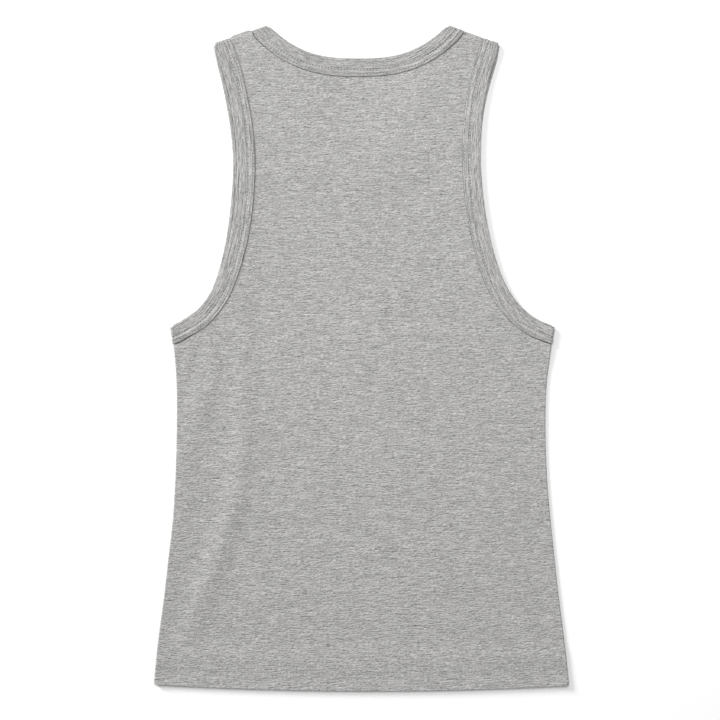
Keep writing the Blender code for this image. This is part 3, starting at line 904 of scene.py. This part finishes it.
def binding(name, bands, map_row):
    """A closed ring of sections, each point lifted from its base along the ring's way out.

    The lift is the section's height, less the grooves, which are deepest where the needle went in.
    """
    bases, outs = ring_sections(bands)
    middle = (bases[:, ROW_POINTS[0]] + bases[:, ROW_POINTS[1]]) / 2 + outs * STACK
    reach = along(np.concatenate([middle, middle[:1]]))
    phase = reach / reach[-1] * round(reach[-1] / STITCH)
    pull = 1.0 - HOLE_PULL + HOLE_PULL * np.cos(2.0 * math.pi * phase[:-1, None])
    lift = SECTION[:, 1] - GROOVE_DEPTH * SECTION[:, 2] * pull
    ring = bases + outs[:, None] * lift[..., None]
    ring[..., 2] = np.maximum(ring[..., 2], 0.0)

    stations, points = ring.shape[:2]
    station, point = np.indices((stations, points))
    station = np.stack([station, station, station + 1, station + 1], axis=-1)
    point = np.stack([point, point + 1, point + 1, point], axis=-1)
    section = np.concatenate([SECTION, SECTION[:1]])
    maps = {
        "cloth": np.stack([reach[station], along(section[:, :2])[point] + map_row], axis=-1) * MM,
        "sewing": np.stack([phase[station], section[:, 0][point]], axis=-1),
    }
    faces = grid_faces(stations, points, round_rows=True, round_columns=True)
    return cloth_object(name, ring.reshape(-1, 3), faces, maps), ring, outs, phase


MAP_ROWS = {"neck": 2000.0, LEFT: 3000.0, RIGHT: 4000.0}
BINDING_NODES = {"neck": "neck_binding", LEFT: "armhole_binding_left", RIGHT: "armhole_binding_right"}
bindings = {}
for place, node in BINDING_NODES.items():
    bands = NECK_BANDS if place == "neck" else {layer: ARMHOLE_BANDS[place, layer] for layer in (FRONT, BACK)}
    bindings[place] = binding(node.replace("binding", "band"), bands, MAP_ROWS[place])
    report(bindings[place][0], node)
    print(f"  {round(bindings[place][3][-1])} stitches round it")

# %% [markdown]
# ## The thread
#
# On the right side a twin needle leaves two rows of plain stitches. Each stitch is a short piece of
# thread that comes out of one needle hole and goes into the next. They are all alike, so all of a
# seam's stitches are computed at once: an array of rings, with a ring's place along its stitch, the
# stitch's two ends and the cloth's outward direction as the only inputs.

# %% Stitches
THREAD_RADIUS = 0.19
THREAD_SIDES = 6
THREAD_LIFT = THREAD_RADIUS / 2
STITCH_PLACES = np.array([0.04, 0.13, 0.28, 0.5, 0.72, 0.87, 0.96])
STITCH_DIVE, DIVE_POWER = 0.34, 6
STITCH_TAPER, TAPER_POWER = 0.55, 8


def stitches(name, seams):
    """One tube for each stitch of the seams, each given as its needle holes and its stitches' ways out.

    A tube's line runs straight from hole to hole, and dives at both ends by the sixth power of the
    distance from its middle. Its radius thins there by the eighth. Its ends stay open, in the cloth.
    """
    starts = np.concatenate([holes[:-1] for holes, _ in seams])
    run = np.concatenate([holes[1:] for holes, _ in seams]) - starts
    ups = np.concatenate([ups for _, ups in seams])
    middle = 2.0 * STITCH_PLACES - 1.0
    dive = THREAD_LIFT - STITCH_DIVE * middle**DIVE_POWER
    line = starts[:, None] + run[:, None] * STITCH_PLACES[:, None] + ups[:, None] * dive[:, None]
    radius = THREAD_RADIUS * (1.0 - STITCH_TAPER * middle**TAPER_POWER)
    turns = np.linspace(0.0, 2.0 * math.pi, THREAD_SIDES, endpoint=False)[:, None]
    ring = unit(np.cross(run, ups))[:, None] * np.cos(turns) + ups[:, None] * np.sin(turns)
    points = line[:, :, None] + ring[:, None] * radius[:, None, None]

    count, rings = points.shape[:2]
    tube = grid_faces(rings, THREAD_SIDES, round_columns=True)
    faces = (tube + np.arange(count)[:, None, None] * rings * THREAD_SIDES).reshape(-1, 4)
    places = np.arange(count)[:, None, None] + STITCH_PLACES[:, None]
    u, v = np.broadcast_arrays(places * STITCH, np.arange(THREAD_SIDES) / THREAD_SIDES)
    thread_map = np.stack([u, v * 2.0 * math.pi * THREAD_RADIUS], axis=-1).reshape(-1, 2) * MM
    piece = cloth_object(name, points.reshape(-1, 3), faces, {"cloth": thread_map[faces.ravel()]})
    print(f"{name}: {count} stitches, {len(piece.data.polygons)} faces")
    return piece


def band_stitches(name, ring, outs, phase):
    """The stitches of both rows of a binding, between whole numbers of its phase."""
    holes = np.arange(round(phase[-1]) + 1)
    ups = unit(read(phase, np.concatenate([outs, outs[:1]]), holes[:-1] + 0.5))
    rows = [np.concatenate([ring[:, point], ring[:1, point]]) for point in ROW_POINTS]
    return stitches(name, [(read(phase, row, holes), ups) for row in rows])


def hem_stitches(name, layer):
    """The two rows of a panel's hem, with a needle hole at each whole number of stitches across."""
    seams = []
    for row in HEM_ROWS:
        left, right = (float(place_at(SIDE_FOLDS[side], HEM_HEIGHT + row)) for side in (LEFT, RIGHT))
        holes = np.arange(math.ceil(left / STITCH), math.floor(right / STITCH) + 1) * STITCH
        plan = np.stack([holes, HEM_HEIGHT + row - hem_bow(holes)], axis=-1)
        height = outer_height(plan, layer) - layer * HEM_GROOVE * grooves(above_hem(plan), HEM_ROWS)
        ups = np.tile([0.0, 0.0, float(layer)], (len(holes) - 1, 1))
        seams.append((lifted(plan, height), ups))
    return stitches(name, seams)


threads = {}
for place, node in BINDING_NODES.items():
    threads[place] = band_stitches(node.replace("binding", "stitches"), *bindings[place][1:])
threads["back hem"] = hem_stitches("hem_stitches_back", BACK)
threads["front hem"] = hem_stitches("hem_stitches_front", FRONT)

# %% [markdown]
# ## Shader maths as Python
#
# A marl is arithmetic on noise, and arithmetic is easiest to read as arithmetic. The class below wraps
# a socket, so that an expression on sockets adds the Math nodes it needs. Every other node comes from
# one method, which takes the node's type, its settings, and what its sockets get.

# %% Sockets that do arithmetic
class Socket:
    """An output socket of a material's nodes, which takes part in Python expressions."""

    def __init__(self, finish, output):
        self.finish = finish
        self.output = output

    def math(self, operation, *inputs):
        """A Math node on this socket and others, or numbers."""
        return self.finish.node("Math", {"operation": operation}, dict(enumerate(inputs)))

    def __add__(self, other):
        return self.math("ADD", self, other)

    def __sub__(self, other):
        return self.math("SUBTRACT", self, other)

    def __rsub__(self, other):
        return self.math("SUBTRACT", other, self)

    def __mul__(self, other):
        return self.math("MULTIPLY", self, other)

    def __abs__(self):
        return self.math("ABSOLUTE", self)

    def floor(self):
        """The whole number below."""
        return self.math("FLOOR", self)

    def limit(self):
        """The value, kept between 0 and 1."""
        return self.finish.node("Clamp", {}, {"Value": self})

    __radd__ = __add__
    __rmul__ = __mul__


class Finish:
    """A material being made: a Principled BSDF, and one method for every other node."""

    def __init__(self, name, **surface):
        self.material = bpy.data.materials.new(name)
        self.material.use_nodes = True
        self.tree = self.material.node_tree
        self.surface = self.tree.nodes["Principled BSDF"]
        self.feed(self.surface, surface)

    def feed(self, node, inputs):
        """Gives a node's sockets their values, or links."""
        for key, value in inputs.items():
            if isinstance(value, Socket):
                self.tree.links.new(value.output, node.inputs[key])
            else:
                node.inputs[key].default_value = value

    def node(self, kind, settings, inputs, output=0):
        """Any node: its type without the prefix, its settings, its inputs and the output wanted."""
        made = self.tree.nodes.new("ShaderNode" + kind)
        for key, value in settings.items():
            setattr(made, key, value)
        self.feed(made, inputs)
        return Socket(self, made.outputs[output])

    def vector(self, x, y, z):
        """A vector of three values."""
        return self.node("CombineXYZ", {}, {"X": x, "Y": y, "Z": z})

    def noise(self, x, y, z):
        """Blender's noise at a place, in one size only, moved to lie about 0."""
        inputs = {"Vector": self.vector(x, y, z), "Scale": 1.0, "Detail": 0.0}
        return self.node("TexNoise", {"noise_dimensions": "3D"}, inputs) - 0.5

    def map(self, name):
        """The two coordinates of a UV map."""
        place = self.node("UVMap", {"uv_map": name}, {})
        return [self.node("SeparateXYZ", {}, {"Vector": place}, output) for output in ("X", "Y")]

    def attribute(self, name):
        """A number that the points of a mesh carry."""
        return self.node("Attribute", {"attribute_name": name}, {}, output="Fac")


# %% [markdown]
# ## Grey marl jersey
#
# Marl yarn is spun from light and dark fibres that never mix quite evenly, so along the yarn its grey
# wanders. Knitted, each course shows a stretch of that yarn as a streak a few millimetres long, and
# the next course shows another. So the tone is noise drawn out along the courses, in three sizes:
# short streaks, long ones and a fine grain. The courses themselves wander a little, because laid-out
# jersey is never quite square. The same streaks raise the surface slightly, since a lighter stretch
# of yarn is a loftier one.

# %% The marl
LIGHT_FIBRE = (0.622, 0.616, 0.605, 1.0)
DARK_FIBRE = (0.156, 0.155, 0.149, 1.0)


class Streak(NamedTuple):
    """One size of streak: its length and height, its place in the noise, and its share of the looks."""

    length: float
    height: float
    seed: float
    tone: float
    relief: float


STREAKS = (
    Streak(3.4, 1.1, 0.0, 0.64, 0.70),
    Streak(10.0, 1.1, 7.7, 0.60, 0.58),
    Streak(0.95, 0.85, 21.3, 0.60, 0.31),
)


class Wander(NamedTuple):
    """A slow noise that moves the courses: its length, height and place, and its reach across."""

    length: float
    height: float
    seed: float
    reach: float


WANDERS = (Wander(26.0, 11.0, 3.1, 4.0), Wander(8.0, 4.0, 5.9, 1.3))


def marl(finish, along_mm, across_mm, stretch):
    """The marl's tone about 0, and the height of its surface in millimetres.

    The place across is moved by two slow noises, less where the cloth is stretched, and there the
    streaks' noises are added up, each times its share: their cells are as long and high as the streaks,
    and longer by the stretch.
    """
    level = across_mm
    for wander in WANDERS:
        place = along_mm * (1 / wander.length), across_mm * (1 / wander.height), wander.seed
        level = level + finish.noise(*place) * (wander.reach / stretch**2)
    tone, relief = 0.0, 0.0
    for streak in STREAKS:
        place = along_mm * (1 / (streak.length * stretch)), level * (1 / streak.height), streak.seed
        mixed = finish.noise(*place)
        tone = mixed * streak.tone + tone
        relief = mixed * streak.relief + relief
    return tone, relief


# %% [markdown]
# Sewing shows in three ways, each painted as shade: a dark line at the foot of a binding, where its lip
# shades the panel, a shade in the groove of each stitch row, and a dark needle hole at every stitch.
# Each is a soft spot or line worked out from the piece's sewing map.

# %% Lines and needle holes
HOLE_RADIUS = 0.82
HOLE_SHARES = (1.0, 0.7)
PATCH_STITCHES, PATCH_WIDTH, PATCH_SEED = 4.5, 3.0, 5.0
PATCH_CONTRAST, PATCH_CLEAR = 1.4, 0.9
ROW_SHADE_WIDTH = 2.0 * GROOVE_WIDTH


def crack(places, centre, width):
    """1 on a line at the centre, easing to 0 at this distance from it."""
    share = (1.0 - abs(places - centre) * (1 / width)).limit()
    return share * share * (3.0 - share * 2.0)


def needle_holes(finish, phase, across, rows):
    """1 at a needle hole, at each whole number of the phase on a row, and 0 a hole's radius away.

    Each row's holes count by its share. A slow noise makes the holes clear in some stretches and
    nearly closed in others.
    """
    nearest = abs(phase - (phase + 0.5).floor()) * STITCH
    total = 0.0
    for row, share in zip(rows, HOLE_SHARES):
        off = across - row
        hole = (1.0 - (nearest * nearest + off * off) * (1 / HOLE_RADIUS**2)).limit()
        total = hole * share + total
    patch = finish.noise(phase * (1 / PATCH_STITCHES), across * (1 / PATCH_WIDTH), PATCH_SEED)
    return total * (patch * PATCH_CONTRAST + PATCH_CLEAR).limit()


def row_lines(across, rows):
    """1 along each stitch row, easing to 0 beside it: where the painted shade of a row's groove goes."""
    return sum(crack(across, row, ROW_SHADE_WIDTH) for row in rows)


# %% [markdown]
# Both finishes share one function. They differ in how stretched the marl looks, in how dark the cloth
# is, and in what sewing crosses them: a panel has a line of painted shade along the foot of each
# binding and two rows of holes with painted shade at its hem, and a binding has its own two rows, with
# a painted highlight on the puff between them. A binding is cut along the courses and pulled a little
# as it is sewn, which draws its streaks out and raises soft ropes along it. The Mix node calls its
# sockets for numbers and for colours by the same names, so those are given by number.

# %% The jersey and binding finishes
CLOTH_SURFACE = {"Roughness": 0.95, "Sheen Weight": 0.2, "Specular IOR Level": 0.12}
MIX_SHARE, MIX_FIRST, MIX_SECOND, MIX_RESULT = 0, 6, 7, 2
BINDING_STRETCH, BINDING_SHADE = 2.2, 0.955
# The width of the painted shade at a binding's foot, and how deep that line also sinks the bump.
FOOT_SHADE_WIDTH, FOOT_SINK = 0.65, 0.3
# A painted highlight on the puff between a binding's two rows: its reach and strength.
LOFT_WIDTH, LOFT_PAINTED_LIGHT = 2.3, 0.06
ROPES_PER_STITCH, ROPES_PER_MM, ROPE_SEED, ROPE_RELIEF = 0.09, 0.6, 9.0, 0.6


class Sewn(NamedTuple):
    """How sewing shows: the painted shade of its needle holes and how deep they are, and the painted shade of
    its rows.
    """

    hole_painted_shade: float
    hole_depth: float
    row_painted_shade: float


# How much painted shade the needle holes and the stitch rows get, and how deep the holes sink.
HEM_SEWN = Sewn(0.45, 0.3, 0.01)
BAND_SEWN = Sewn(0.75, 0.35, 0.04)


def cloth_finish(name, stretch, shade, sewing):
    """A marl finish, its colour times the shade, which is the cloth's own tone.

    The tone mixes the dark and the light fibre, and the relief feeds the bump.
    sewing(finish, phase, across) gives the finish's painted shade, from 0 to 1, and its sinking.
    """
    finish = Finish(name, **CLOTH_SURFACE)
    u, v = finish.map("cloth")
    tone, relief = marl(finish, u * (1 / MM), v * (1 / MM), stretch)
    painted_shade, sinking = sewing(finish, *finish.map("sewing"))
    fibres = {MIX_SHARE: tone + 0.5, MIX_FIRST: DARK_FIBRE, MIX_SECOND: LIGHT_FIBRE}
    colour = finish.node("Mix", {"data_type": "RGBA"}, fibres, output=MIX_RESULT)
    # The sewing's painted shade darkens the colour, and a binding's painted highlight lightens it.
    shaded = {"Vector": colour, "Scale": (1.0 - painted_shade) * shade}
    colour = finish.node("VectorMath", {"operation": "SCALE"}, shaded)
    bump = finish.node("Bump", {}, {"Strength": 1.0, "Distance": MM, "Height": relief - sinking})
    finish.feed(finish.surface, {"Base Color": colour, "Normal": bump})
    return finish.material


def panel_sewing(finish, phase, from_hem):
    """Painted shade: the dark line at the foot of a binding, and in the hem's needle holes and rows."""
    # The dark line at a binding's foot is painted shade, on top of the lip's own shadow.
    foot_shade = crack(finish.attribute("lip"), 0.0, FOOT_SHADE_WIDTH) * finish.attribute("painted_seam_shade")
    holes = needle_holes(finish, phase, from_hem, HEM_ROWS)
    lines = row_lines(from_hem, HEM_ROWS)
    painted_shade = (foot_shade + holes * HEM_SEWN.hole_painted_shade + lines * HEM_SEWN.row_painted_shade).limit()
    return painted_shade, foot_shade * FOOT_SINK + holes * HEM_SEWN.hole_depth


def band_sewing(finish, phase, inside):
    """A binding's painted shade in its needle holes and grooves, a painted highlight between them, and its
    ropes.
    """
    holes = needle_holes(finish, phase, inside, BAND_ROWS)
    lines = row_lines(inside, BAND_ROWS)
    # The puff between the rows is painted lighter, as if it caught more light.
    loft_highlight = crack(inside, sum(BAND_ROWS) / 2, LOFT_WIDTH)
    ropes = finish.noise(phase * ROPES_PER_STITCH, inside * ROPES_PER_MM, ROPE_SEED)
    painted_shade = holes * BAND_SEWN.hole_painted_shade + lines * BAND_SEWN.row_painted_shade - loft_highlight * LOFT_PAINTED_LIGHT
    return painted_shade, holes * BAND_SEWN.hole_depth + ropes * ROPE_RELIEF


jersey = cloth_finish("jersey", 1.0, 1.0, panel_sewing)
rib = cloth_finish("binding_jersey", BINDING_STRETCH, BINDING_SHADE, band_sewing)
for piece in (back_cloth, front_cloth):
    piece.data.materials.append(jersey)
for piece, *_ in bindings.values():
    piece.data.materials.append(rib)

# %% [markdown]
# ## Thread
#
# Sewing thread is smoother than the cloth, so it catches a little more light. Its plies show as a fine
# slanting ripple along it: a bump, and painted shade that darkens the grooves between the plies.

# %% The thread's finish
THREAD_GREY = (0.56, 0.558, 0.55)
THREAD_SURFACE = {"Roughness": 0.7, "Specular IOR Level": 0.3}
PLY_LENGTH = 0.6 * MM
PLY_PAINTED_SHADE = 0.08
TWIST_BUMP = {"Strength": 0.6, "Distance": 0.05 * MM}


def thread_finish():
    """A grey thread with a twist: a sine of its length plus its turn, as bump and as painted shade between
    its plies.
    """
    finish = Finish("thread", **THREAD_SURFACE)
    u, v = finish.map("cloth")
    turn = (u + v) * (2.0 * math.pi / PLY_LENGTH)
    twist = turn.math("SINE", turn)
    # The ply ripple's tone is painted shade: darker in the grooves between the plies.
    toned = {"Vector": THREAD_GREY, "Scale": twist * PLY_PAINTED_SHADE + 1.0}
    colour = finish.node("VectorMath", {"operation": "SCALE"}, toned)
    bump = finish.node("Bump", {}, {**TWIST_BUMP, "Height": twist})
    finish.feed(finish.surface, {"Base Color": colour, "Normal": bump})
    return finish.material


thread = thread_finish()
for piece in threads.values():
    piece.data.materials.append(thread)

# %% [markdown]
# ## Floor, light and camera
#
# The garment lies on a plain white table under soft studio light. A large softbox, low and far off at
# the upper left, models the creases and throws the soft shadow at the right and below. A smaller one
# above the top makes the chest a little lighter than the hem, and the white world keeps the shadows
# open. The camera hangs straight above with a long lens, so that the outline is not bent. All of the
# stage's lengths are in metres, but for the lens and its sensor, which Blender takes in millimetres.

# %% The stage
PIXEL = 1.05 * MM
VIEW_CENTRE = (-1.575 * MM, -0.525 * MM)
VIEW_HEIGHT = 2.5 * MM
PICTURE_SIZE = 720
FIELD = PICTURE_SIZE * PIXEL
LENS, SENSOR = 150.0, 36.0
FAR_CLIP = 20.0
FLOOR_SIZE = 8.0
FLOOR_GREY, FLOOR_ROUGHNESS = 0.985, 0.9
WORLD_LIGHT = 0.355


class Lamp(NamedTuple):
    """A square soft light, aimed at the table's middle from an azimuth left of up, angles in degrees."""

    name: str
    azimuth: float
    elevation: float
    distance: float
    size: float
    power: float


LAMPS = (
    Lamp("key", 50.0, 22.0, 8.0, 2.8, 630.0),
    Lamp("top", 0.0, 73.0, 1.54, 0.8, 13.0),
)


def floor():
    """A plain white table top."""
    half = FLOOR_SIZE / 2
    mesh = bpy.data.meshes.new("floor")
    corners = [(-half, -half, 0), (half, -half, 0), (half, half, 0), (-half, half, 0)]
    mesh.from_pydata(corners, [], [(0, 1, 2, 3)])
    white = {"Base Color": (FLOOR_GREY, FLOOR_GREY, FLOOR_GREY, 1.0), "Specular IOR Level": 0.0}
    mesh.materials.append(Finish("paper", Roughness=FLOOR_ROUGHNESS, **white).material)
    add("floor", mesh)


def hang(lamp):
    """A lamp at its distance from the table's middle, turned to face it."""
    data = bpy.data.lights.new(lamp.name, "AREA")
    data.size = lamp.size
    data.energy = lamp.power
    azimuth, elevation = math.radians(lamp.azimuth), math.radians(lamp.elevation)
    level, height = lamp.distance * math.cos(elevation), lamp.distance * math.sin(elevation)
    made = add(lamp.name, data)
    made.location = (-level * math.sin(azimuth), level * math.cos(azimuth), height)
    made.rotation_mode = "QUATERNION"
    made.rotation_quaternion = made.location.to_track_quat("Z", "Y")


def stage():
    """A white floor, the lamps, a pale world and a camera."""
    scene = bpy.context.scene
    scene.view_settings.view_transform = "Standard"
    scene.world = bpy.data.worlds.new("studio")
    scene.world.use_nodes = True
    sky = scene.world.node_tree.nodes["Background"].inputs
    sky["Color"].default_value = (1.0, 1.0, 1.0, 1.0)
    sky["Strength"].default_value = WORLD_LIGHT
    floor()
    for lamp in LAMPS:
        hang(lamp)

    lens = bpy.data.cameras.new("camera")
    lens.lens = LENS
    lens.sensor_width = SENSOR
    lens.clip_end = FAR_CLIP
    camera = add("camera", lens)
    camera.location = (*VIEW_CENTRE, FIELD * LENS / SENSOR + VIEW_HEIGHT)
    scene.camera = camera
    print(f"camera {camera.location.z:.2f} m above the table")


stage()

# %% [markdown]
# ## Say what each piece is
#
# The garment is one body. Each piece of cloth stands for its solid, which is hidden, and its cloth's
# area is printed; the thread joins the same body.


def cloth_area(piece):
    """Half the area of a closed shell, in square metres: the area of the cloth itself."""
    mesh = piece.data
    areas = np.zeros(len(mesh.polygons), np.float32)
    mesh.polygons.foreach_get("area", areas)
    return float(areas.sum()) / 2


for piece, node in ((back_cloth, "back_panel"), (front_cloth, "front_panel")):
    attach(piece, "root")
    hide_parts(node)
    print(piece.name, "area", round(cloth_area(piece), 4))
for place, (piece, *_) in bindings.items():
    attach(piece, "root")
    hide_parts(BINDING_NODES[place])
    print(piece.name, "area", round(cloth_area(piece), 4))
for piece in threads.values():
    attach(piece, "root")
cloth_area(back_cloth)
cloth_area(front_cloth)
for piece, _, _, phase in bindings.values():
    length = phase[-1] * STITCH * MM
    shown = cloth_area(piece) / length
    print(f"{piece.name}: {length:.3f} m round, {shown / MM:.1f} mm shows")
